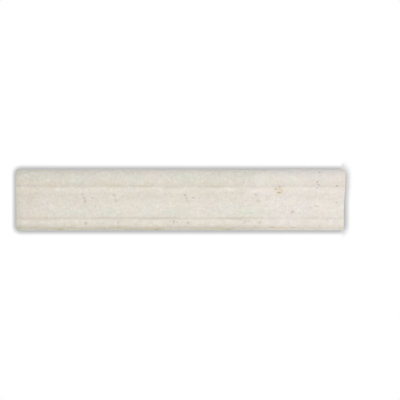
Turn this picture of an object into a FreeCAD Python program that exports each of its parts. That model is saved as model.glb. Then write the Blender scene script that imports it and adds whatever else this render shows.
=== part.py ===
import FreeCAD
import Part
import Sketcher

import math
import os

# Dado rail: one length of limestone wall moulding, milled and honed from a single strip.
# It lies on its flat back: X runs along the rail, Y up the wall towards the nose, Z out of
# the wall. The origin is the middle of the back face. All sizes are millimetres.

# Driving dimensions. The rail's height is the sum of its members, from the nose to the foot.
SIZES = [
    ("rail_length", 305.0, "sawn length along the wall"),
    ("projection", 30.0, "back face to the front of the nose"),
    ("nose_radius", 9.6, "half round nose: top face to the front of the nose"),
    ("nose_return", 6.8, "how far the nose turns under from there to the upper quirk"),
    ("listel_width", 4.6, "raked listel below the nose: width up the wall"),
    ("listel_fall", 2.4, "how far the listel falls back towards the wall"),
    ("slope_width", 8.0, "straight slope into the cove: width up the wall"),
    ("cove_width", 16.2, "cove: width up the wall, down to the lower quirk"),
    ("cove_radius", 18.5, "hollow of the cove"),
    ("cove_thickness", 14.6, "stone left behind the cove at its thinnest"),
    ("bead_rise", 3.0, "bead: lower quirk to the crown of the bead"),
    ("bead_radius", 5.5, "roundness of the bead above its crown"),
    ("foot_radius", 8.8, "quarter round from the crown of the bead into the bottom face"),
    ("back_arris", 1.0, "rounding of the two long edges of the back"),
]
MEMBERS = [
    "nose_radius", "nose_return", "listel_width", "slope_width", "cove_width", "bead_rise", "foot_radius",
]
NODE = "dado_rail"

START, END, CENTRE = 1, 2, 3  # the points of a sketch line or arc
ROOT = (-1, START)  # the sketch's own origin
NEAR = 1e-4


def makeSheet(doc):
    """Spreadsheet of the driving dimensions: name, number with its alias, note."""
    sheet = doc.addObject("Spreadsheet::Sheet", "Sizes")
    sheet.Label = "driving dimensions"
    for row, (name, value, note) in enumerate(SIZES, start=1):
        sheet.set("A%d" % row, name)
        sheet.set("B%d" % row, str(value))
        sheet.setAlias("B%d" % row, name)
        sheet.set("C%d" % row, note)
    doc.recompute()
    return sheet


def point(up, out):
    """A point of the section: up the wall and out of it."""
    return FreeCAD.Vector(up, out, 0)


def onCircle(centre, radius, up, side):
    """The point of a circle at a height up the wall, outside (1) or inside (-1) its centre."""
    return point(up, centre.y + side * math.sqrt(radius ** 2 - (up - centre.x) ** 2))


def line(first, last):
    return Part.LineSegment(first, last)


def arc(centre, radius, first, last):
    """Arc about centre, anticlockwise from first to last."""
    angles = [math.atan2(end.y - centre.y, end.x - centre.x) for end in (first, last)]
    return Part.ArcOfCircle(Part.Circle(centre, FreeCAD.Vector(0, 0, 1), radius), *angles)


def outline(s):
    """The section's lines and arcs, drawn near their places for the constraints to hold."""
    top = sum(getattr(s, member) for member in MEMBERS) / 2

    noseCentre = point(top - s.nose_radius, s.projection - s.nose_radius)
    noseStart = point(top, noseCentre.y)
    upperQuirk = onCircle(noseCentre, s.nose_radius, noseCentre.x - s.nose_return, 1)
    listelEnd = upperQuirk - point(s.listel_width, s.listel_fall)

    crownUp = s.foot_radius - top
    quirkUp = crownUp + s.bead_rise
    coveCentre = point(quirkUp + s.cove_width / 3, s.cove_thickness + s.cove_radius)
    lowerQuirk = onCircle(coveCentre, s.cove_radius, quirkUp, -1)
    coveStart = onCircle(coveCentre, s.cove_radius, quirkUp + s.cove_width, -1)

    beadCentre = onCircle(lowerQuirk, s.bead_radius, crownUp, -1)
    crown = beadCentre + point(0, s.bead_radius)
    footCentre = crown - point(0, s.foot_radius)
    footEnd = footCentre - point(s.foot_radius, 0)

    return [
        line(point(-top, 0), point(top, 0)),
        line(point(top, 0), noseStart),
        arc(noseCentre, s.nose_radius, noseStart, upperQuirk),
        line(upperQuirk, listelEnd),
        line(listelEnd, coveStart),
        arc(coveCentre, s.cove_radius, lowerQuirk, coveStart),
        arc(beadCentre, s.bead_radius, lowerQuirk, crown),
        arc(footCentre, s.foot_radius, crown, footEnd),
        line(footEnd, point(-top, 0)),
    ]


def drawSection(body, sheet):
    """Sketch of the moulded section on the plane across the rail, held by the sheet's sizes."""
    sketch = body.newObject("Sketcher::SketchObject", "section")
    plane = [f for f in body.Origin.OriginFeatures if f.Role == "YZ_Plane"][0]
    sketch.AttachmentSupport = [(plane, "")]
    sketch.MapMode = "FlatFace"

    edges = sketch.addGeometry(outline(sheet), False)
    back, topFace, nose, listel, slope, cove, bead, foot, bottomFace = edges

    for kind, *where in [
        ("Horizontal", back),
        ("Symmetric", back, START, back, END, *ROOT),
        ("Coincident", back, END, topFace, START),
        ("Vertical", topFace),
        ("Tangent", topFace, END, nose, START),
        ("Coincident", nose, END, listel, START),
        ("Coincident", listel, END, slope, START),
        ("Tangent", slope, END, cove, END),
        ("Coincident", cove, START, bead, START),
        ("Tangent", bead, END, foot, START),
        ("Vertical", bead, CENTRE, bead, END),
        ("Tangent", foot, END, bottomFace, START),
        ("Vertical", bottomFace),
        ("Coincident", bottomFace, END, back, START),
    ]:
        sketch.addConstraint(Sketcher.Constraint(kind, *where))

    # Each dimension takes its value from the drawing first, then from the sheet.
    for name, formula, kind, *where in [
        ("nose_radius", "Sizes.nose_radius", "Radius", nose),
        ("nose_height", "Sizes.projection - Sizes.nose_radius", "DistanceY", *ROOT, nose, CENTRE),
        ("nose_return", "Sizes.nose_return", "DistanceX", nose, END, nose, CENTRE),
        ("listel_width", "Sizes.listel_width", "DistanceX", listel, END, listel, START),
        ("listel_fall", "Sizes.listel_fall", "DistanceY", listel, END, listel, START),
        ("slope_width", "Sizes.slope_width", "DistanceX", slope, END, slope, START),
        ("cove_width", "Sizes.cove_width", "DistanceX", cove, START, cove, END),
        ("cove_radius", "Sizes.cove_radius", "Radius", cove),
        ("cove_height", "Sizes.cove_thickness + Sizes.cove_radius", "DistanceY", *ROOT, cove, CENTRE),
        ("bead_rise", "Sizes.bead_rise", "DistanceX", bead, END, bead, START),
        ("bead_radius", "Sizes.bead_radius", "Radius", bead),
        ("foot_radius", "Sizes.foot_radius", "Radius", foot),
    ]:
        if kind == "Radius":
            drawn = sketch.Geometry[where[0]].Radius
        else:
            span = sketch.getPoint(*where[2:]) - sketch.getPoint(*where[:2])
            drawn = span.x if kind == "DistanceX" else span.y
        index = sketch.addConstraint(Sketcher.Constraint(kind, *where, drawn))
        sketch.renameConstraint(index, name)
        sketch.setExpression("Constraints." + name, formula)
    return sketch


def makeRail(doc, sheet):
    """The rail: its section run along the wall, sawn off square, with the back's arrises eased."""
    body = doc.addObject("PartDesign::Body", "Rail")
    body.Label = NODE
    body.Placement = FreeCAD.Placement()

    run = body.newObject("PartDesign::Pad", "run")
    run.Profile = drawSection(body, sheet)
    run.SideType = "Symmetric"
    run.setExpression("Length", "Sizes.rail_length")
    doc.recompute()

    halfHeight = run.Shape.BoundBox.YMax
    backEdges = []
    for number, edge in enumerate(run.Shape.Edges, start=1):
        middle = edge.CenterOfMass
        if abs(middle.x) < NEAR and middle.z < NEAR and abs(middle.y) > halfHeight - NEAR:
            backEdges.append("Edge%d" % number)

    eased = body.newObject("PartDesign::Fillet", "back_arrises")
    eased.Base = (run, backEdges)
    eased.setExpression("Radius", "Sizes.back_arris")
    body.Tip = eased
    doc.recompute()
    return body


def check(doc, parts):
    """Stop before anything is written if an object failed or a shape isn't one valid solid."""
    for item in doc.Objects:
        if "Invalid" in item.State or "Error" in item.State:
            raise RuntimeError("%s failed: %s" % (item.Label, item.State))
    for part in parts:
        shape = part.Shape
        if shape.isNull() or not shape.isValid() or len(shape.Solids) != 1:
            raise RuntimeError("%s is not one valid solid" % part.Label)


document = FreeCAD.newDocument("dado_rail_305")
sizeSheet = makeSheet(document)
rail = makeRail(document, sizeSheet)
check(document, [rail])

os.makedirs("parts", exist_ok=True)
rail.Shape.exportStep("parts/%s.step" % rail.Label)

bounds = rail.Shape.BoundBox
print("%s: %.2f x %.2f x %.2f mm, %.1f cm3, %d faces" % (
    rail.Label, bounds.XLength, bounds.YLength, bounds.ZLength,
    rail.Shape.Volume / 1000, len(rail.Shape.Faces)))
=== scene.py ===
import math
import random

import bmesh
import bpy
from mathutils import Matrix, Vector, kdtree, noise


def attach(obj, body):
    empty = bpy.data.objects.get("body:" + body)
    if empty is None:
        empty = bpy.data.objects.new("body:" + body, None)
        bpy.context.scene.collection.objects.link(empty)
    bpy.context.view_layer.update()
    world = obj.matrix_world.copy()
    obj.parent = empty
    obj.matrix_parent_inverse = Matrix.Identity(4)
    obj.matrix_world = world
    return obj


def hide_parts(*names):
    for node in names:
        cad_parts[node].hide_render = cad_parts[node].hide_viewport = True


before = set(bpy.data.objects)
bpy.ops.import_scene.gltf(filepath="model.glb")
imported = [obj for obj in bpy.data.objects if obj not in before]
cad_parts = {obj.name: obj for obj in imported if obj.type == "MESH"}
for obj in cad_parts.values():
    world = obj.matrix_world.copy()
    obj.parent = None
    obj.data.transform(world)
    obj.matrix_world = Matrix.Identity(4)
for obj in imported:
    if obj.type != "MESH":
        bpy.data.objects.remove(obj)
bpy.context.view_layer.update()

print("frame loaded")

mm = 0.001

# One length of limestone dado rail, lying on its sawn back: X along it, Y up the wall, Z out of the wall.
# All sizes are mm, and a member's width is measured up the wall.
rail = {
    "halfLength": 152.5,
    "halfHeight": 28.5,
    "projection": 30.0,
    "backArris": 1.0,
    "noseRadius": 9.6,
    "noseReturn": 6.8,  # how far the nose turns under, to the upper quirk
    "listelWidth": 4.6,
    "listelFall": 2.4,
    "slopeWidth": 8.0,
    "coveWidth": 16.2,
    "coveRadius": 18.5,
    "coveThickness": 14.6,  # stone behind the cove
    "beadRise": 3.0,  # from the lower quirk to the crown of the bead
    "beadRadius": 5.5,
    "footRadius": 8.8,
    "leanRounds": 30,  # of working out how much the slope leans
    "close": 0.5,  # mesh spacing beside the quirks
    "medium": 0.7,  # on the rest of the moulded face
    "plain": 1.2,  # on the top face and the sawn ends
    "wide": 2.5,  # on the back
    "merged": 0.03,  # points of the section nearer than this become one
    "ringWidth": 0.3,  # rings of faces round each end, for its worn arris
    "rings": 6,
    "ringMerged": 0.22,
    "manyCorners": 20,  # only the middle of the end has a face with more
    "endRun": 2.7,  # closely cut stretch next to each end
    "endCuts": 8,
    "runCuts": (6, 6, 6),
    "alongEdge": 0.1,  # an edge that runs along the rail is longer than this
    "smoothUnder": 42.0,  # degrees
}
pen = {"at": Vector((0, 0))}


# Where the members of the section meet, and the axes of the round ones, as (y, z).
def placeMembers():
    half, noseRadius, coveRadius = rail["halfHeight"], rail["noseRadius"], rail["coveRadius"]
    noseUp, noseOut = half - noseRadius, rail["projection"] - noseRadius
    turnedUnder = math.sqrt(noseRadius ** 2 - rail["noseReturn"] ** 2)
    noseFoot = (noseUp - rail["noseReturn"], noseOut + turnedUnder)  # upper quirk
    listelFoot = (noseFoot[0] - rail["listelWidth"], noseFoot[1] - rail["listelFall"])
    coveOut = rail["coveThickness"] + coveRadius
    # the slope leans so that it runs into the cove without a break
    lean = 0
    for count in range(rail["leanRounds"]):
        fall = listelFoot[1] - coveOut + coveRadius * math.cos(lean)
        lean = (lean + math.atan(fall / rail["slopeWidth"])) / 2
    slopeFoot = (listelFoot[0] - rail["slopeWidth"], coveOut - coveRadius * math.cos(lean))
    coveUp, quirkUp = slopeFoot[0] - coveRadius * math.sin(lean), slopeFoot[0] - rail["coveWidth"]
    coveFoot = (quirkUp, coveOut - math.sqrt(coveRadius ** 2 - (quirkUp - coveUp) ** 2))  # lower quirk
    crownUp = quirkUp - rail["beadRise"]
    beadOut = coveFoot[1] - math.sqrt(rail["beadRadius"] ** 2 - rail["beadRise"] ** 2)
    crownOut = beadOut + rail["beadRadius"]
    footOut = crownOut - rail["footRadius"]
    return {
        "noseAxis": (noseUp, noseOut), "noseFoot": noseFoot, "listelFoot": listelFoot,
        "slopeFoot": slopeFoot, "coveAxis": (coveUp, coveOut), "coveFoot": coveFoot,
        "beadAxis": (crownUp, beadOut), "beadCrown": (crownUp, crownOut),
        "footAxis": (crownUp, footOut), "footEnd": (-half, footOut),
    }


members = placeMembers()


# Draws the section on from the pen, straight or round an axis.
def drawTo(end, spacing, axis=None, hollow=False):
    start, end = pen["at"], Vector(end)
    if axis is None:
        run = end - start
        steps = max(1, round(run.length / spacing))
        bpy.ops.mesh.extrude_repeat(steps=steps, offset=(0, run.x * mm / steps, run.y * mm / steps))
        pen["at"] = end
        return
    axis = Vector(axis)
    first, last = start - axis, end - axis
    turn = (math.atan2(last.y, last.x) - math.atan2(first.y, first.x)) % math.tau
    if hollow:
        turn -= math.tau
    steps = max(2, round(abs(turn) * first.length / spacing))
    centre = (-rail["halfLength"] * mm, axis.x * mm, axis.y * mm)
    bpy.ops.mesh.spin(steps=steps, angle=turn, center=centre, axis=(-1, 0, 0))
    pen["at"] = axis + Matrix.Rotation(turn, 2) @ first


# Selects the edges or faces that pass the test in the mesh being edited, and nothing else.
def pick(kind, test):
    bpy.ops.mesh.select_mode(type=kind)
    bpy.ops.mesh.select_all(action="DESELECT")
    shape = bmesh.from_edit_mesh(bpy.context.object.data)
    for item in shape.edges if kind == "EDGE" else shape.faces:
        if test(item):
            item.select_set(True)
    shape.select_flush_mode()
    bmesh.update_edit_mesh(bpy.context.object.data)


def drawSection():
    half, arris = rail["halfHeight"], rail["backArris"]
    bpy.ops.object.select_all(action="DESELECT")
    bpy.ops.mesh.primitive_plane_add(size=mm)
    piece = bpy.context.object
    piece.name = piece.data.name = "limestoneRail"
    bpy.ops.object.mode_set(mode="EDIT")
    bpy.ops.mesh.select_all(action="SELECT")
    bpy.ops.mesh.merge(type="CENTER")
    pen["at"] = Vector((arris - half, 0))
    bpy.ops.transform.translate(value=(-rail["halfLength"] * mm, pen["at"].x * mm, 0))

    drawTo((half - arris, 0), rail["wide"])
    drawTo((half, arris), rail["close"], axis=(half - arris, arris))
    drawTo((half, members["noseAxis"][1]), rail["plain"])
    drawTo(members["noseFoot"], rail["medium"], axis=members["noseAxis"])
    drawTo(members["listelFoot"], rail["close"])
    drawTo(members["slopeFoot"], rail["medium"])
    drawTo(members["coveFoot"], rail["medium"], axis=members["coveAxis"], hollow=True)
    drawTo(members["beadCrown"], rail["close"], axis=members["beadAxis"])
    drawTo(members["footEnd"], rail["medium"], axis=members["footAxis"])
    drawTo((-half, arris), rail["plain"])
    drawTo((arris - half, 0), rail["close"], axis=(arris - half, arris))

    bpy.ops.mesh.select_all(action="SELECT")
    bpy.ops.mesh.remove_doubles(threshold=rail["merged"] * mm)
    bpy.ops.mesh.select_all(action="SELECT")
    bpy.ops.mesh.edge_face_add()
    return piece


# Rings of faces follow the outline of the sawn end, and a grid fills the middle.
def fillEnd():
    def isMiddle(face):
        return len(face.verts) > rail["manyCorners"]

    for ring in range(rail["rings"]):
        pick("FACE", isMiddle)
        bpy.ops.mesh.inset(thickness=rail["ringWidth"] * mm, depth=0, use_even_offset=True)
        bpy.ops.mesh.select_all(action="SELECT")
        bpy.ops.mesh.remove_doubles(threshold=rail["ringMerged"] * mm)
    # the grid's faces keep the index by which they are found again
    shape = bmesh.from_edit_mesh(bpy.context.object.data)
    for face in shape.faces:
        face.material_index = int(isMiddle(face))
    spacing = rail["plain"]
    for axis, low, high in ((1, -rail["halfHeight"], rail["halfHeight"]), (2, 0, rail["projection"])):
        cut = low + spacing
        while cut < high - spacing / 2:
            pick("FACE", lambda face: face.material_index == 1)
            place, facing = [-rail["halfLength"] * mm, 0, 0], [0, 0, 0]
            place[axis], facing[axis] = cut * mm, 1
            bpy.ops.mesh.bisect(plane_co=place, plane_no=facing)
            cut += spacing


# Cuts the long edges between two places along the rail.
def cutAcross(low, high, cuts):
    def runsAlong(edge):
        one, other = (vert.co.x for vert in edge.verts)
        return abs(one - other) > rail["alongEdge"] * mm and low * mm < (one + other) / 2 < high * mm

    pick("EDGE", runsAlong)
    bpy.ops.mesh.subdivide(number_cuts=cuts)


def pullRail(piece):
    half, endRun = rail["halfLength"], rail["endRun"]
    pick("FACE", lambda face: True)
    for run in (endRun, 2 * (half - endRun), endRun):
        bpy.ops.mesh.extrude_region_move(TRANSFORM_OT_translate={"value": (run * mm, 0, 0)})
    cutAcross(-half, endRun - half, rail["endCuts"])
    cutAcross(half - endRun, half, rail["endCuts"])
    for cuts in rail["runCuts"]:
        cutAcross(endRun - half, half - endRun, cuts)
    bpy.ops.mesh.select_all(action="SELECT")
    bpy.ops.mesh.normals_make_consistent(inside=False)
    bpy.ops.object.mode_set(mode="OBJECT")
    print("rail drawn and pulled:", len(piece.data.vertices), "points")


# Holds places so that the ones near a given spot are quickly found.
def gatherPlaces(places):
    gathered = kdtree.KDTree(len(places))
    for index, place in enumerate(places):
        gathered.insert(place, index)
    gathered.balance()
    return gathered


# What handling has done to the sawn ends: radius of the worn edge, and of its corners.
wear = {
    "left": (0.9, 2.3),
    "right": (0.25, 0.5),
    "cornersFrom": 21.0,  # height above or below the middle
    "chipSize": 3.0,
    "chipping": 0.35,
    "reach": 3.2,
    "outlineWithin": 0.5,  # the outline is taken from the edges this near the middle, on its right
    "steps": 16,  # points of the outline to each edge of the mesh
    "flush": 0.001,  # a point this near the end's plane is on the sawn face
    "edgeWidth": 0.04,  # a point this near the edge is on the edge itself
}


def wearEnds(piece):
    half, within = rail["halfLength"], wear["outlineWithin"] * mm
    verts = piece.data.vertices
    # the outline of the section, point by point, with the way into the stone
    outline, inward = [], []
    for edge in piece.data.edges:
        one, other = (verts[index] for index in edge.vertices)
        if 0 < one.co.x < within and 0 < other.co.x < within:
            for step in range(wear["steps"] + 1):
                share = step / wear["steps"]
                place = one.co.lerp(other.co, share)
                outline.append(Vector((0, place.y, place.z)))
                inward.append(-one.normal.lerp(other.normal, share).normalized())
    section = gatherPlaces(outline)

    for vert in verts:
        depth = half - abs(vert.co.x) / mm
        if depth > wear["reach"]:
            continue
        foot, index, gap = section.find((0, vert.co.y, vert.co.z))
        height = abs(foot.y) / mm
        share = max(0, (height - wear["cornersFrom"]) / (rail["halfHeight"] - wear["cornersFrom"]))
        edge, corner = wear["left" if vert.co.x < 0 else "right"]
        grain = noise.noise(Vector((vert.co.x, foot.y, foot.z)) / (wear["chipSize"] * mm))
        radius = (edge + (corner - edge) * share ** 2) * (1 + wear["chipping"] * grain)
        onEnd = depth < wear["flush"] and gap > wear["edgeWidth"] * mm
        apart = gap / mm if onEnd else depth  # distance from the edge that is worn round
        if apart > radius:
            continue
        # the two faces meet half way round, at 45 degrees
        angle = math.radians(45) * (1 + apart / radius if onEnd else 1 - apart / radius)
        way = (Vector((0, vert.co.y, vert.co.z)) - foot).normalized() if onEnd else inward[index]
        place = foot + way * radius * (1 - math.cos(angle)) * mm
        vert.co = (math.copysign((half - radius * (1 - math.sin(angle))) * mm, vert.co.x), place.y, place.z)
    piece.data.update()
    print("ends worn")


# Nothing in the milled face is quite straight, and painted shade darkens the quirks.
face = {
    "dips": ((34.0, 0.10), (9.0, 0.03)),  # size along the face and depth
    "easeIn": 2.0,  # they fade out this near the ends, down to "leastAtEnds"
    "leastAtEnds": 0.3,
    "facesOut": 0.3,  # share of its normal by which the moulded face looks out of the wall
    "waver": 0.28,  # how far the quirks stray up and down
    "waverSize": 26.0,
    "waverReach": 3.0,
    "groove": 0.08,  # depth of the scratch that the cutter left along each quirk
    "grooveWidth": 1.15,
    "grime": (0.55, 1.0),  # upper quirk, lower quirk
    "quirkShadeSize": 22.0,
    "quirkShadeShift": 5.0,  # so that it doesn't follow the waver
    "quirkShadeEven": 0.7,
    "quirkShadePatchy": 0.9,
    "shadeFadesFrom": (60.0, 110.0),  # the painted shade in the quirks fades towards the right end, by this share
    "shadeFading": 0.6,
}


def roughenFace(piece):
    mesh = piece.data
    normals = [vert.normal.copy() for vert in mesh.vertices]
    fadeStart, fadeEnd = face["shadeFadesFrom"]
    quirks = (members["noseFoot"][0], members["coveFoot"][0])
    grime = []
    for vert, normal in zip(mesh.vertices, normals):
        place = vert.co.copy()
        inset = 0
        for size, depth in face["dips"]:
            inset += depth * (0.5 + 0.5 * noise.noise(place / (size * mm)))
        darkening = 0
        shadeFading = face["shadeFading"] * min(1, max(0, (place.x / mm - fadeStart) / (fadeEnd - fadeStart)))
        # painted shade: the stone is darkened along each quirk, where the crease lies in shade
        for quirk, most in zip(quirks, face["grime"]):
            if normal.z < face["facesOut"]:
                continue
            along = Vector((place.x / (face["waverSize"] * mm), quirk, 0))
            apart = (place.y / mm - quirk) / face["waverReach"]
            vert.co.y += face["waver"] * noise.noise(along) * math.exp(-apart ** 2) * mm
            near = math.exp(-((place.y / mm - quirk) / face["grooveWidth"]) ** 2)
            inset += face["groove"] * near
            patch = noise.noise(Vector((place.x / (face["quirkShadeSize"] * mm), quirk + face["quirkShadeShift"], 0)))
            darkening = max(darkening, near * most * (face["quirkShadeEven"] + face["quirkShadePatchy"] * patch) * (1 - shadeFading))
        ends = min(1, (rail["halfLength"] * mm - abs(place.x)) / (face["easeIn"] * mm))
        vert.co -= normal * inset * mm * max(face["leastAtEnds"], ends)
        grime.append(darkening)
    mesh.attributes.new("grime", "FLOAT", "POINT").data.foreach_set("value", grime)
    mesh.update()
    print("face roughened")


# Open pits of the stone: (x, y, length, width, turn, depth, darkening), on the moulded face. The darkening is
# partly dirt and partly painted shade in the pit's hollow.
pits = {
    "seen": [
        (-90.9, 4.7, 3.5, 2.5, -65, 0.7, 0.21), (-89.5, 1.9, 3.5, 2.2, -60, 0.7, 0.18),
        (-88.4, -1.4, 5.0, 2.5, -75, 0.7, 0.16), (-81.3, 1.8, 3.2, 2.8, 0, 0.6, 0.15),
        (-62.0, 4.0, 4.1, 2.9, -60, 0.6, 0.19), (-59.7, -1.1, 5.8, 3.8, -80, 0.6, 0.17),
        (-54.6, 1.8, 3.2, 2.7, 0, 0.5, 0.11), (4.1, 4.4, 3.4, 2.4, -70, 0.9, 0.34),
        (5.4, 1.6, 3.4, 2.3, -60, 0.7, 0.23), (6.8, -1.3, 5.1, 3.0, -70, 0.6, 0.16),
        (11.6, 1.6, 3.2, 2.7, 0, 0.5, 0.20), (70.1, 4.6, 4.0, 2.8, -55, 0.7, 0.22),
        (72.4, -1.0, 5.5, 3.2, -80, 0.6, 0.19), (-87.9, -21.9, 3.8, 3.2, 0, 0.7, 0.30),
        (-57.6, -20.7, 1.7, 1.5, 0, 0.6, 0.18), (-6.1, -20.4, 3.6, 2.3, 80, 0.6, 0.25),
        (-9.6, -19.7, 1.9, 1.5, 0, 0.5, 0.18), (-2.9, -20.9, 2.0, 1.6, 30, 0.5, 0.18),
        (7.2, -21.5, 3.8, 3.0, 20, 0.7, 0.22), (60.0, -20.6, 3.2, 2.3, 40, 0.6, 0.15),
        (63.7, -19.9, 2.0, 1.6, 0, 0.5, 0.20), (73.9, -21.1, 3.5, 2.6, 30, 0.7, 0.21),
        # the cluster in the stained hollow
        (91.7, 12.2, 2.0, 1.3, -20, 0.7, 0.32), (88.2, 9.8, 2.2, 1.5, 30, 0.8, 0.36),
        (91.4, 6.9, 4.0, 1.8, 8, 1.0, 0.39), (94.3, 8.6, 2.0, 1.4, 60, 0.7, 0.26),
        (91.2, 9.6, 4.2, 3.0, 0, 0.4, 0.04), (92.6, 10.2, 1.6, 1.3, 0, 0.4, 0.10),
        # the dark ones near the right end
        (128.8, 26.0, 2.2, 1.8, 0, 0.9, 0.43), (126.5, 16.3, 2.8, 2.2, -50, 0.7, 0.28),
        (127.9, 13.7, 2.5, 1.9, -40, 0.8, 0.33), (126.6, 10.9, 2.2, 1.6, 20, 0.6, 0.17),
        (144.8, 13.0, 2.5, 2.1, 60, 0.9, 0.43), (104.2, -11.3, 4.4, 3.7, 0, 0.7, 0.18),
        (121.3, -6.6, 1.5, 1.3, 0, 0.5, 0.16), (125.6, -5.5, 2.0, 1.8, 0, 0.6, 0.26),
        (128.5, -6.4, 1.9, 1.6, 0, 0.6, 0.22), (145.7, -2.4, 1.9, 1.5, 0, 0.6, 0.17),
        (136.6, -18.9, 3.8, 3.0, 0, 0.5, 0.20),
        # long nicks in the foot
        (85.5, -25.4, 5.8, 1.5, 0, 0.6, 0.42), (105.6, -25.7, 5.8, 1.3, 2, 0.6, 0.25),
        (-111.3, -27.5, 6.6, 1.7, 1, 0.7, 0.46), (-21.7, -27.4, 6.6, 1.8, -1, 0.7, 0.50),
        (45.0, -27.6, 7.4, 1.8, 0, 0.7, 0.48),
    ],
    "castFrom": 60.0,  # height from which the places are sought
    "small": 120,  # others, anywhere on the rail
    "atEnds": 10,
    "clearOfEnds": 4.0,
    "acrossEnd": 0.9,  # share of the end's height over which they lie
    "throughEnd": (0.1, 0.85),  # and of the stone's thickness there
    "sawnFacing": 0.9,  # share of its normal by which a sawn face looks one way
    "smallSize": (0.35, 0.9),
    "smallDarkening": (0.3, 0.6),
    "sawnSize": (0.6, 2.4),  # on the back and the sawn ends, where nothing was honed away
    "narrowness": (0.5, 0.95),  # width and depth, as shares of the half length
    "steepness": (0.9, 1.5),
    "margins": (0.6, 0.3),  # the mesh is divided once and then again this far round a pit
    "farthest": 1.3,  # a ragged pit reaches this share of its size
    "darkened": 1.3,  # the darkening spreads this far round it, and thins out over "fade"; round the pit it is dirt, in it also painted shade
    "fade": 0.9,
    "speckled": 0.7,
    "speckleSize": 0.7,
    "ragged": 0.75,
    "raggedSize": 1.1,
    "finer": (0.5, 0.4),  # strength and size of the finer raggedness, as shares of the other
    "brow": 0.55,  # share of the radius over which the wall falls
    "floor": (0.8, 0.35),  # share of the depth, and how far the floor goes up and down from it
    "floorSize": 0.4,
    "seed": 11,
}


# From 0 to 1 with soft ends, and no further either way.
def ease(amount):
    amount = min(1, max(0, amount))
    return amount * amount * (3 - 2 * amount)


# The pits as a list of places, with the way out, the long way, the sizes and the darkening, which is dirt and
# painted shade.
def findPits(piece):
    down = Vector((0, 0, -1))
    found = []
    for x, y, long, wide, turn, depth, darkening in pits["seen"]:
        hit, place, normal, index = piece.ray_cast(Vector((x, y, pits["castFrom"])) * mm, down)
        along = Vector((math.cos(math.radians(turn)), math.sin(math.radians(turn)), 0))
        along = (along - normal * along.dot(normal)).normalized()
        found.append((place, normal, along, long / 2, wide / 2, depth, darkening))

    dice = random.Random(pits["seed"])
    half = rail["halfLength"] * mm
    for count in range(pits["small"]):
        if count < pits["atEnds"]:
            way = Vector((dice.choice((-1, 1)), 0, 0))
            across = pits["acrossEnd"] * rail["halfHeight"] * mm
            aim = Vector((0, dice.uniform(-across, across), 0))
            hit, above, normal, index = piece.ray_cast(aim + Vector((0, 0, pits["castFrom"] * mm)), down)
            aim.z = above.z * dice.uniform(*pits["throughEnd"])
        else:
            angle = dice.uniform(0, math.tau)
            way = Vector((0, math.cos(angle), math.sin(angle)))
            aim = Vector((dice.uniform(-half, half), 0, members["noseAxis"][1] * mm / 2))
        hit, place, normal, index = piece.ray_cast(aim + way, -way)
        sawn = max(-normal.z, abs(normal.x)) > pits["sawnFacing"]
        long = dice.uniform(*pits["sawnSize" if sawn else "smallSize"]) / 2
        wide = long * dice.uniform(*pits["narrowness"])
        along = Vector([dice.uniform(-1, 1) for axis in range(3)])
        along = (along - normal * along.dot(normal)).normalized()
        depth, darkening = long * dice.uniform(*pits["steepness"]), dice.uniform(*pits["smallDarkening"])
        if hit and (way.x or abs(place.x) < half - pits["clearOfEnds"] * mm):
            found.append((place, normal, along, long, wide, depth, darkening))
    return found


def divideRound(piece, found, margin):
    centres = gatherPlaces([polygon.center for polygon in piece.data.polygons])
    near = set()
    for place, normal, along, long, *others in found:
        around = centres.find_range(place, (pits["farthest"] * long + margin) * mm)
        near.update(index for centre, index, gap in around)
    bpy.ops.object.mode_set(mode="EDIT")
    pick("FACE", lambda one: one.index in near)
    bpy.ops.mesh.subdivide(number_cuts=1)
    bpy.ops.object.mode_set(mode="OBJECT")


def openPits(piece):
    found = findPits(piece)
    for margin in pits["margins"]:
        divideRound(piece, found, margin)
    mesh = piece.data
    points = gatherPlaces([vert.co for vert in mesh.vertices])
    raggedSize, (finer, finerSize) = pits["raggedSize"] * mm, pits["finer"]
    floorShare, floorBumps = pits["floor"]
    hollow = [0.0] * len(mesh.vertices)
    for place, normal, along, long, wide, depth, darkening in found:
        across = normal.cross(along)
        for spot, index, gap in points.find_range(place, pits["farthest"] * pits["darkened"] * long * mm):
            away = (spot - place) / mm
            rough = noise.noise(spot / raggedSize) + finer * noise.noise(spot / (finerSize * raggedSize))
            outward = math.hypot(away.dot(along) / long, away.dot(across) / wide)
            outward *= max(1 / pits["farthest"], 1 + pits["ragged"] * rough)
            sunk = ease((1 - outward) / pits["brow"])
            sunk *= floorShare + floorBumps * noise.noise(spot / (pits["floorSize"] * mm))
            mesh.vertices[index].co -= normal * sunk * depth * mm
            # painted shade as well as dirt: each pit is darkened in its hollow and round it
            darkened = ease((pits["darkened"] - outward) / pits["fade"])
            darkened *= 1 + pits["speckled"] * noise.noise(spot / (pits["speckleSize"] * mm))
            hollow[index] = max(hollow[index], darkened * darkening)
    mesh.attributes.new("hollow", "FLOAT", "POINT").data.foreach_set("value", hollow)
    mesh.update()
    print("pits opened:", len(found), "in", len(mesh.polygons), "faces")


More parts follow.
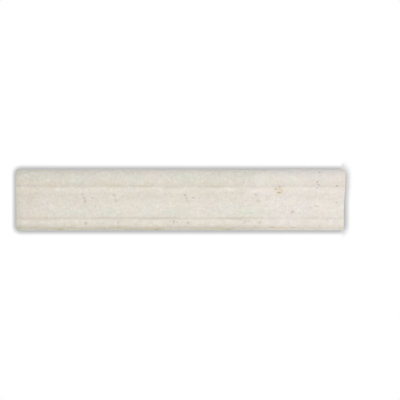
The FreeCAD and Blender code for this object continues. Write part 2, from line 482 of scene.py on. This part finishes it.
# Marks in the face of the stone: (x, y, half length, half height, strength).
marks = {
    "shell": [  # pale fossil fragments
        (-147.3, 20.3, 1.8, 1.5, 0.7), (-143.1, 23.1, 2.0, 1.6, 0.9), (-137.6, 24.9, 1.6, 1.5, 0.7),
        (-109.0, 18.0, 1.6, 1.7, 0.8), (-99.8, 21.7, 1.4, 1.2, 0.8), (-99.8, 17.1, 1.4, 1.3, 0.7),
        (-113.2, 10.2, 2.6, 1.9, 0.9), (-109.1, 9.3, 1.8, 1.5, 0.8), (-121.2, -13.9, 1.6, 1.6, 0.7),
        (-143.9, -20.4, 2.6, 2.0, 0.8), (-19.9, 17.6, 1.6, 1.5, 1.0), (-19.8, 10.2, 2.1, 1.9, 1.0),
        (-24.4, 11.6, 1.6, 1.7, 0.8), (-5.1, 16.7, 1.5, 1.6, 0.8), (-33.4, -7.4, 2.0, 1.6, 0.7),
        (-22.3, -20.5, 2.2, 1.8, 0.8), (-34.4, -21.4, 1.7, 1.4, 0.7), (-67.0, 23.1, 1.3, 1.3, 0.7),
        (45.9, 17.6, 1.6, 1.7, 1.0), (46.1, 9.3, 1.8, 1.6, 1.0), (41.4, 10.7, 2.0, 1.7, 0.9),
        (60.7, 17.1, 1.6, 1.4, 0.8), (32.7, -7.4, 1.7, 1.6, 0.7), (43.8, -19.5, 1.9, 1.7, 0.7),
        (130.0, 20.5, 32.0, 7.0, 0.2),
    ],
    "stain": [  # iron in the stone
        (91.1, 10.2, 4.2, 3.2, 1.0), (91.2, 6.8, 3.0, 2.2, 1.0), (94.0, 9.6, 16.0, 2.8, 0.25),
        (-149.6, 6.5, 1.1, 15.0, 0.7), (-149.4, -18.0, 1.2, 3.5, 0.6), (-121.5, 12.2, 8.0, 1.8, 0.6),
        (-64.2, 12.6, 7.0, 1.7, 0.5), (-33.7, 12.6, 7.0, 1.8, 0.6), (32.1, 12.4, 6.0, 1.9, 0.6),
        (-111.5, -27.0, 8.0, 1.8, 0.8), (-60.5, -26.4, 9.5, 1.9, 0.6), (-24.0, -26.6, 14.0, 1.9, 0.7),
        (35.0, -26.5, 13.0, 2.0, 0.6), (91.0, -26.2, 10.0, 2.0, 0.6),
    ],
    "green": [  # greener clouds on the nose and in the cove
        (-93.9, 20.5, 15.0, 6.5, 0.45), (6.5, 20.5, 18.0, 6.0, 0.5), (64.0, 22.3, 11.0, 5.0, 0.7),
        (-124.1, -11.6, 4.2, 3.2, 0.8), (-97.6, -11.6, 11.0, 3.8, 0.8), (-67.0, -11.6, 9.0, 3.5, 0.4),
        (-6.5, -12.0, 9.5, 4.0, 1.0), (61.4, -10.2, 9.5, 4.5, 1.0),
    ],
    "facesOut": 0.05,  # they are only on the moulded face
    "farthest": 1.7,  # share of its size within which a mark's points are sought
    "edge": 1.35,  # and where it has faded out
    "ragged": 0.75,
    "raggedSize": 2.4,
}


def markFace(piece):
    mesh = piece.data
    points = gatherPlaces([(vert.co.x, vert.co.y, 0) for vert in mesh.vertices])
    outward = [vert.normal.z for vert in mesh.vertices]
    for kind in ("shell", "stain", "green"):
        strength = [0.0] * len(mesh.vertices)
        for x, y, long, high, most in marks[kind]:
            centre = Vector((x, y, 0)) * mm
            for spot, index, gap in points.find_range(centre, marks["farthest"] * max(long, high) * mm):
                if outward[index] < marks["facesOut"]:
                    continue
                away = (spot - centre) / mm
                rough = noise.noise(mesh.vertices[index].co / (marks["raggedSize"] * mm))
                apart = math.hypot(away.x / long, away.y / high) * (1 + marks["ragged"] * rough)
                strength[index] = max(strength[index], most * ease(marks["edge"] - apart))
        mesh.attributes.new(kind, "FLOAT", "POINT").data.foreach_set("value", strength)
    print("face marked")


def finishMesh(piece):
    bpy.ops.object.select_all(action="DESELECT")
    piece.select_set(True)
    bpy.context.view_layer.objects.active = piece
    bpy.ops.object.shade_smooth_by_angle(angle=math.radians(rail["smoothUnder"]))


# Colour as a painter would name it, turned to the linear light that the shader wants.
def linear(code):
    parts = [int(code[start:start + 2], 16) / 255 for start in (1, 3, 5)]
    parts = [part / 12.92 if part <= 0.04045 else ((part + 0.055) / 1.055) ** 2.4 for part in parts]
    return (*parts, 1)


def grey(level):
    return (level, level, level, 1)


# Adds a node. A setting is a link, an input's value, a ramp's stops or one of the node's own options.
def addNode(tree, kind, settings):
    node = tree.nodes.new("ShaderNode" + kind)
    for key, value in settings.items():
        if key == "stops":
            ramp = node.color_ramp
            while len(ramp.elements) < len(value):
                ramp.elements.new(1)
            for element, (place, shade) in zip(ramp.elements, value):
                element.position, element.color = place, shade
        elif isinstance(value, bpy.types.NodeSocket):
            tree.links.new(value, node.inputs[key])
        elif isinstance(key, int) or key in node.inputs:
            node.inputs[key].default_value = value
        else:
            setattr(node, key, value)
    return node


# Cream limestone: a fine, chalky, nearly even stone with paler fossil crumbs and small brown pits.
stone = {
    "alongRail": [  # from the left end, tan, to the right end, pale cream
        (0.0, "#DFD8CC"), (0.17, "#E4DED3"), (0.42, "#E7E1D6"), (0.72, "#E7E1D6"), (0.79, "#EDE6DE"),
    ],
    "beds": [  # tints and painted shade by height up the wall: tan foot, pale bead, cove and listel; the darker rows under the nose and the greyer rows along its top edge are painted shade
        (-28.3, "#F4F5F3"), (-27.4, "#EAECEA"), (-26.3, "#E5E5DF"), (-23.0, "#F6F6F5"), (-20.0, "#F8F8F8"),
        (-15.2, "#F8F8F8"), (-12.0, "#F7F9FA"), (-2.0, "#FEFEFF"), (5.0, "#FCFBFC"), (10.5, "#FFFFFF"),
        (13.0, "#F6F6F6"), (16.0, "#F4F4F2"), (22.5, "#F3F5F5"), (26.5, "#EEF0F4"), (27.6, "#E6E9ED"),
        (28.4, "#F2F2F0"),
    ],
    "footPaler": (-22.0, -25.0),  # the foot goes paler from here to here down it,
    "rightPaler": (74.0, 104.0),  # and from here to here along it
    "paler": 0.42,
    "leftEdgeShade": [  # painted shade: greyer near the left end, by distance from it
        (0.3, "#EAEDF1"), (1.4, "#F6F9FA"), (2.3, "#F8FCF8"), (3.3, "#F8FCF7"), (4.9, "#FCFDFC"),
        (7.5, "#FFFFFF"),
    ],
    "leftEdgeReach": 10.0,
    "tinted": [  # how much pink and green there is by height: more in the cove and on the nose
        (-15.5, 0), (-13.0, 0.25), (-3.0, 0.25), (-0.5, 0), (12.5, 0), (15.0, 0.2), (25.0, 0.2), (27.5, 0),
    ],
    "pink": "#FFFAFC",
    "green": "#FBFFFD",
    "tinting": 0.2,
    "warm": "#FFFFFA",
    "cool": "#FFFFFF",
    "warming": 0.65,
    "shellColour": "#F3EEE6",
    "stainColour": "#DCCEA8",
    # colour of the painted shade along the quirks
    "quirkShadeColour": "#CFC3B8",
    # the colour of dirt in the pores, and of dirt with painted shade in the pits
    "pitColour": "#A99D8C",
    "poreDirt": 0.5,
    "written": {  # the most that each mark on the mesh colours the stone
        # the quirks' mark is painted shade, and the hollows' mark is dirt with painted shade in the pits
        "green": 0.9, "shell": 0.5, "stain": 0.42, "grime": 0.5, "hollow": 1.0,
    },
    # size in mm, detail, roughness, shift, the part of the noise that is used, and what it becomes
    "patterns": {
        "drift": (34.0, 2, 0.5, 0.0, (0.3, 0.7), (-0.016, 0.016)),  # metres that the colours wander
        "clouds": (21.0, 3, 0.5, 0.0, (0.3, 0.7), (0.975, 1.025)),
        "mottle": (4.2, 3, 0.6, 0.1, (0.25, 0.75), (0.935, 1.055)),
        "flecks": (2.1, 2, 0.5, 1.3, (0.25, 0.75), (0.948, 1.054)),
        "tints": (15.0, 2, 0.5, 0.7, (0.44, 0.6), (0, 1)),
        "warmth": (11.0, 2, 0.5, 1.1, (0.42, 0.58), (0, 1)),
        "crumbs": (3.0, 2, 0.5, 0.4, (0.58, 0.72), (0, 0.55)),  # shell, a few tenths of a millimetre to three
        "pores": (1.5, 2, 0.6, 0.5, (0.7, 0.76), (0, 1)),
        "rough": (0.9, 4, 0.7, 0.2, (0, 1), (0, 1)),
    },
    "poreDepth": -2.0,
}
honed = {
    "patterns": {
        "grain": (0.9, 3, 0.7, 0.2, (0.25, 0.75), (0.97, 1.03)),
        "sway": (30.0, 2, 0.5, 0.3, (0.3, 0.7), (-0.0008, 0.0008)),  # the bands by height go up and down, in metres
    },
    "roughness": (0.5, 0.62),
    "relief": 0.03,
}
sawn = {
    "patterns": {
        "grain": (0.9, 3, 0.7, 0.2, (0.25, 0.75), (0.95, 1.03)),
        "patches": (22.0, 2, 0.5, 0.9, (0.38, 0.62), (0.2, 1)),  # where the strokes show
    },
    "roughness": (0.78, 0.9),
    "relief": 0.06,
    "stroke": 2.6,  # spacing of the saw's strokes
    "strokeTilt": 24.0,  # degrees
    "strokeLow": 0.95,
    "within": 2.2,  # sawn faces are this near the end and look along the rail by this share,
    "facing": 0.8,
    "below": 0.6,  # or are this near the back
}


# Honed limestone looks matt with a faint soft sheen; sawn limestone is paler, dusty and quite matt.
def makeLimestone(name, finish):
    material = bpy.data.materials.new(name)
    material.use_nodes = True
    tree = material.node_tree
    shader = tree.nodes["Principled BSDF"]
    place = addNode(tree, "TexCoord", {}).outputs["Object"]
    axes = addNode(tree, "SeparateXYZ", {"Vector": place}).outputs
    half, high = rail["halfLength"] * mm, rail["halfHeight"] * mm

    # the patterns, and the marks written on the mesh, each brought to its own range
    fields = {}
    for key, settings in {**stone["patterns"], **finish["patterns"]}.items():
        size, detail, roughness, shift, (low, top), (least, most) = settings
        moved = addNode(tree, "Mapping", {"Vector": place, "Location": (shift, shift, shift)}).outputs[0]
        speckle = addNode(tree, "TexNoise", {
            "Vector": moved, "Scale": 1 / (size * mm), "Detail": detail, "Roughness": roughness}).outputs[0]
        fields[key] = addNode(tree, "MapRange", {
            "Value": speckle, "From Min": low, "From Max": top, "To Min": least, "To Max": most}).outputs[0]
    for key, most in stone["written"].items():
        value = addNode(tree, "Attribute", {"attribute_name": key}).outputs["Fac"]
        fields[key] = addNode(tree, "MapRange", {"Value": value, "To Max": most}).outputs[0]
    fields["poreDirt"] = addNode(tree, "Math", {
        "operation": "MULTIPLY", 0: fields["pores"], 1: stone["poreDirt"]}).outputs[0]
    for key, one, other in (("tints", "pink", "green"), ("warmth", "warm", "cool")):
        fields[key] = addNode(tree, "Mix", {
            "data_type": "RGBA", 0: fields[key], 6: linear(stone[one]), 7: linear(stone[other])}).outputs[2]

    # change of colour along the rail
    along = addNode(tree, "Math", {"operation": "ADD", 0: axes["X"], 1: fields["drift"]}).outputs[0]
    colour = addNode(tree, "ValToRGB", {
        "Fac": addNode(tree, "MapRange", {"Value": along, "From Min": -half, "From Max": half}).outputs[0],
        "stops": [(share, linear(code)) for share, code in stone["alongRail"]],
    }).outputs["Color"]

    # over it come the clouds and the grain, then crumbs of shell, stains, painted shade in the quirks, dirt
    # in the pores, and dirt with painted shade in the pits
    layers = [("MULTIPLY", 1.0, fields[key]) for key in ("clouds", "mottle", "flecks", "grain")]
    layers.append(("MULTIPLY", stone["tinting"], fields["tints"]))
    layers.append(("MULTIPLY", stone["warming"], fields["warmth"]))
    layers.append(("MULTIPLY", fields["green"], linear(stone["green"])))
    for key, code in (
            ("crumbs", "shellColour"), ("shell", "shellColour"), ("stain", "stainColour"),
            ("grime", "quirkShadeColour"), ("poreDirt", "pitColour"), ("hollow", "pitColour")):
        layers.append(("MIX", fields[key], linear(stone[code])))

    # relief too fine for the mesh: grain, pores, and the saw's strokes
    relief = addNode(tree, "Math", {
        "operation": "MULTIPLY_ADD", 0: fields["pores"], 1: stone["poreDepth"], 2: fields["rough"],
    }).outputs[0]

    if finish is sawn:
        # the strokes run along the back, and aslant across the ends
        tilt = (math.radians(sawn["strokeTilt"]), 0, 0)
        turned = addNode(tree, "Mapping", {"Vector": place, "Rotation": tilt}).outputs[0]
        # this texture has a stroke to every 20 mm where its scale is tau
        strokes = addNode(tree, "TexWave", {
            "Vector": turned, "wave_type": "BANDS", "bands_direction": "Y",
            "Scale": math.tau * 50 / sawn["stroke"], "Distortion": 4.0, "Detail": 3.0,
            "Detail Scale": 1.2}).outputs["Fac"]
        tone = addNode(tree, "MapRange", {"Value": strokes, "To Min": sawn["strokeLow"]}).outputs[0]
        layers.append(("MULTIPLY", fields["patches"], tone))
        relief = addNode(tree, "Math", {"operation": "ADD", 0: relief, 1: strokes}).outputs[0]
    else:
        # tints and painted shade by height up the wall; the foot is paler towards the right end
        up = addNode(tree, "Math", {"operation": "ADD", 0: axes["Y"], 1: fields["sway"]}).outputs[0]
        share = addNode(tree, "MapRange", {"Value": up, "From Min": -high, "From Max": high}).outputs[0]
        bands = {
            "beds": [(height, linear(code)) for height, code in stone["beds"]],
            "tinted": [(height, grey(amount)) for height, amount in stone["tinted"]],
        }
        for key, stops in bands.items():
            bands[key] = addNode(tree, "ValToRGB", {
                "Fac": share, "stops": [(0.5 + height * mm / high / 2, tone) for height, tone in stops],
            }).outputs["Color"]
        (footFrom, footTo), (rightFrom, rightTo) = stone["footPaler"], stone["rightPaler"]
        toFoot = addNode(tree, "MapRange", {
            "Value": up, "From Min": footFrom * mm, "From Max": footTo * mm}).outputs[0]
        toRight = addNode(tree, "MapRange", {
            "Value": along, "From Min": rightFrom * mm, "From Max": rightTo * mm,
            "To Max": stone["paler"]}).outputs[0]
        pale = addNode(tree, "Math", {"operation": "MULTIPLY", 0: toFoot, 1: toRight}).outputs[0]
        beds = addNode(tree, "Mix", {"data_type": "RGBA", 0: pale, 6: bands["beds"], 7: grey(1)}).outputs[2]
        # painted shade: the stone is greyer next to the left end
        reach = stone["leftEdgeReach"]
        edge = addNode(tree, "ValToRGB", {
            "Fac": addNode(tree, "MapRange", {
                "Value": axes["X"], "From Min": -half, "From Max": reach * mm - half}).outputs[0],
            "stops": [(distance / reach, linear(code)) for distance, code in stone["leftEdgeShade"]],
        }).outputs["Color"]
        layers.append(("MULTIPLY", bands["tinted"], fields["tints"]))
        # the bands by height carry painted shade in part, and the grey along the left end is painted shade
        layers += [("MULTIPLY", 1.0, layer) for layer in (beds, edge)]

    for way, amount, layer in layers:
        colour = addNode(tree, "Mix", {
            "data_type": "RGBA", "blend_type": way, 0: amount, 6: colour, 7: layer}).outputs[2]
    bump = addNode(tree, "Bump", {
        "Height": relief, "Distance": finish["relief"] * mm, "Strength": 1.0}).outputs[0]
    least, most = finish["roughness"]
    roughness = addNode(tree, "MapRange", {
        "Value": fields["rough"], "From Min": 0.3, "From Max": 0.7,
        "To Min": least, "To Max": most}).outputs[0]
    for socket, value in (("Base Color", colour), ("Normal", bump), ("Roughness", roughness)):
        tree.links.new(value, shader.inputs[socket])
    shader.inputs["IOR"].default_value = 1.5
    return material


def coverRail(piece):
    piece.data.materials.clear()
    piece.data.materials.append(makeLimestone("honedLimestone", honed))
    piece.data.materials.append(makeLimestone("sawnLimestone", sawn))
    nearEnd = (rail["halfLength"] - sawn["within"]) * mm
    for polygon in piece.data.polygons:
        atEnd = abs(polygon.center.x) > nearEnd and abs(polygon.normal.x) > sawn["facing"]
        polygon.material_index = int(atEnd or polygon.center.z < sawn["below"] * mm)
    print("stone laid on")


# White ground with the rail's own soft shadow close round it, an even tent of light, and the camera.
studio = {
    "groundSize": 12.0,  # metres
    "ground": "#E4E3E0",
    "shade": (  # by how open the ground is
        (0.5, "#AEAFAF"), (0.75, "#D5D5D5"), (0.86, "#E3E3E3"), (0.965, "#FFFFFF"),
    ),
    "shadeReach": (5.2, 8.0, 9.6),  # all round, past the right end, and past the nose there
    "shadeTurn": (-2.0, 1.0),  # past the right end it changes from here to here
    "noseAbove": 14.0,  # up the wall
    "shadeDepth": 1.3,  # the power that darkens it past the right end
    "shadeSamples": 16,
    "tent": 0.8,
    "softbox": 0.63,  # from straight above
    "softboxAngle": 60.0,
    "distance": 2600.0,  # camera to the cove
    "coveHeight": 15.0,
    "cameraX": -88.0,
    "aimX": 18.34,
    "lens": 251.9,
    "sensor": 36.0,
    "clip": (0.1, 50.0),  # metres
}


# 1 where the camera sees the surface itself or its mirror image, and 0 where it only lights others.
def seenDirectly(tree):
    rays = addNode(tree, "LightPath", {}).outputs
    seen = rays["Is Camera Ray"]
    for other in ("Is Glossy Ray", "Is Transmission Ray"):
        seen = addNode(tree, "Math", {"operation": "MAXIMUM", 0: seen, 1: rays[other]}).outputs[0]
    return seen


def layGround():
    bpy.ops.object.select_all(action="DESELECT")
    bpy.ops.mesh.primitive_plane_add(size=studio["groundSize"])
    ground = bpy.context.object
    ground.name = "ground"
    material = bpy.data.materials.new("whitePaper")
    material.use_nodes = True
    tree = material.node_tree
    tree.nodes.remove(tree.nodes["Principled BSDF"])
    paper = addNode(tree, "BsdfDiffuse", {"Color": linear(studio["ground"])}).outputs[0]
    axes = addNode(tree, "SeparateXYZ", {"Vector": addNode(tree, "TexCoord", {}).outputs["Object"]}).outputs
    near, far, farNose = (reach * mm for reach in studio["shadeReach"])
    turnFrom, turnTo = ((rail["halfLength"] + past) * mm for past in studio["shadeTurn"])
    past = addNode(tree, "MapRange", {
        "Value": axes["Y"], "From Max": studio["noseAbove"] * mm,
        "To Min": far, "To Max": farNose}).outputs[0]
    beyond = addNode(tree, "MapRange", {
        "Value": axes["X"], "From Min": turnFrom, "From Max": turnTo}).outputs[0]
    reach = addNode(tree, "MapRange", {"Value": beyond, "To Min": near, "To Max": past}).outputs[0]
    depth = addNode(tree, "MapRange", {
        "Value": beyond, "To Min": 1, "To Max": studio["shadeDepth"]}).outputs[0]
    openness = addNode(tree, "AmbientOcclusion", {
        "samples": studio["shadeSamples"], "Distance": reach}).outputs["AO"]
    openness = addNode(tree, "Math", {"operation": "POWER", 0: openness, 1: depth}).outputs[0]
    tone = addNode(tree, "ValToRGB", {
        "Fac": openness, "stops": [(share, linear(code)) for share, code in studio["shade"]],
    }).outputs["Color"]
    glow = addNode(tree, "Emission", {"Color": tone, "Strength": 1.0}).outputs[0]
    both = addNode(tree, "MixShader", {0: seenDirectly(tree), 1: paper, 2: glow}).outputs[0]
    tree.links.new(both, tree.nodes["Material Output"].inputs["Surface"])
    ground.data.materials.append(material)


def lightTent():
    world = bpy.data.worlds.new("tent")
    bpy.context.scene.world = world
    world.use_nodes = True
    tree = world.node_tree
    light = addNode(tree, "Background", {"Color": grey(1), "Strength": studio["tent"]}).outputs[0]
    seen = addNode(tree, "Background", {"Color": grey(1), "Strength": 1.0}).outputs[0]
    both = addNode(tree, "MixShader", {0: seenDirectly(tree), 1: light, 2: seen}).outputs[0]
    tree.links.new(both, tree.nodes["World Output"].inputs["Surface"])
    lamp = bpy.data.lights.new("softbox", "SUN")
    lamp.energy, lamp.angle = studio["softbox"], math.radians(studio["softboxAngle"])
    bpy.context.scene.collection.objects.link(bpy.data.objects.new("softbox", lamp))


def placeCamera():
    tilt = math.atan2(studio["aimX"] - studio["cameraX"], studio["distance"])
    data = bpy.data.cameras.new("camera")
    data.lens, data.sensor_width = studio["lens"], studio["sensor"]
    data.clip_start, data.clip_end = studio["clip"]
    camera = bpy.data.objects.new("camera", data)
    camera.location = (studio["cameraX"] * mm, 0, (studio["coveHeight"] + studio["distance"]) * mm)
    camera.rotation_euler = (0, -tilt, 0)
    bpy.context.scene.collection.objects.link(camera)
    bpy.context.scene.camera = camera


piece = drawSection()
fillEnd()
pullRail(piece)
wearEnds(piece)
roughenFace(piece)
openPits(piece)
markFace(piece)
finishMesh(piece)
coverRail(piece)
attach(piece, "root")
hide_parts("dado_rail")

layGround()
lightTent()
placeCamera()
bpy.context.scene.view_settings.view_transform = "Standard"
print("studio set")
